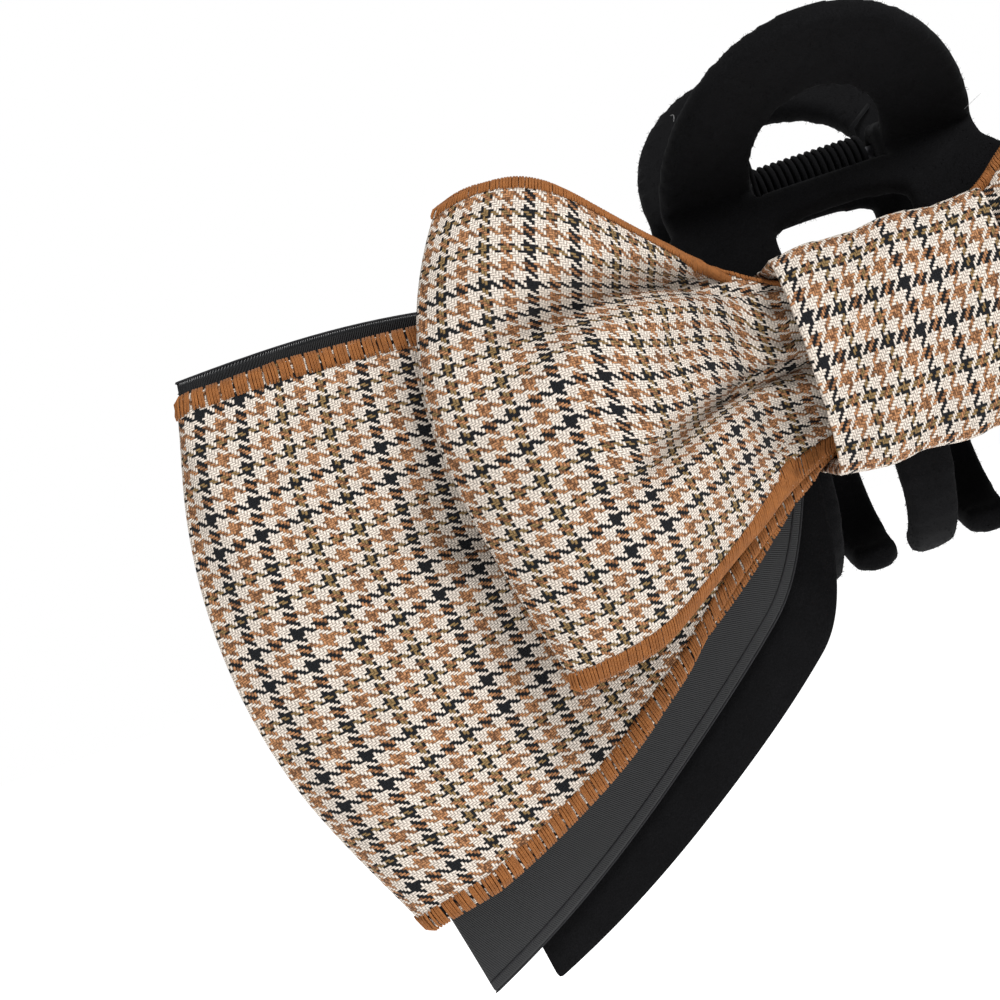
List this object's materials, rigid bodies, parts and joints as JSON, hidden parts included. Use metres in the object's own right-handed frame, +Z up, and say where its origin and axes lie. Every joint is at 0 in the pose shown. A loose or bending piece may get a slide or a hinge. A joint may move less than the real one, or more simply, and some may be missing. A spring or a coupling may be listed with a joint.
{
  "type": "hair bow",
  "caption": "Large layered hair bow in checked twill with overlocked edges and black satin and velvet ribbon, mounted on a sprung black flocked hair claw",
  "frame": {"origin": "the hair grip: between the closed jaws, on the claw's middle plane, level with the middle of the knot", "axes": "X along the bow, -Y the side the bow faces, Z up towards the claw's handles"},
  "size_m": [0.2046, 0.0721, 0.1029],
  "materials": {
    "check_twill": "yarn-dyed cream, brown and black houndstooth twill with an olive overcheck",
    "overlock_thread": "brown spun thread",
    "black_satin": "black satin ribbon with a woven selvedge",
    "black_velvet": "matt black pile",
    "black_flock": "moulded plastic with a short black flock coat",
    "spring_steel": "blackened spring wire",
    "hot_melt_glue": "hot-melt glue",
    "wadding": "polyester wadding"
  },
  "bodies": {
    "front_body": {"front_jaw": "black_flock", "hinge_pin": "spring_steel", "torsion_spring": "spring_steel", "glue_pad": "hot_melt_glue", "knot_band": "check_twill", "knot_padding": "wadding", "upper_bow_strip": "check_twill", "upper_top_overlock": "overlock_thread", "upper_bottom_overlock": "overlock_thread", "upper_gather_thread": "overlock_thread", "lower_bow_strip": "check_twill", "lower_top_overlock": "overlock_thread", "lower_bottom_overlock": "overlock_thread", "lower_gather_thread": "overlock_thread", "satin_loop_ribbon": "black_satin", "satin_tail_ribbon": "black_satin", "velvet_ribbon": "black_velvet", "ribbon_gather_thread": "black_satin"},
    "rear_body": {"rear_jaw": "black_flock"}
  },
  "joints": [
    {"name": "claw_hinge", "type": "hinge", "parent": "front_body", "child": "rear_body", "pos_m": [0, 0, 0.026], "axis": [1, 0, 0], "range_deg": [0, 45], "stiffness_Nm_per_rad": 0.25, "springref_deg": -28.65, "deforming": ["torsion_spring"]}
  ]
}
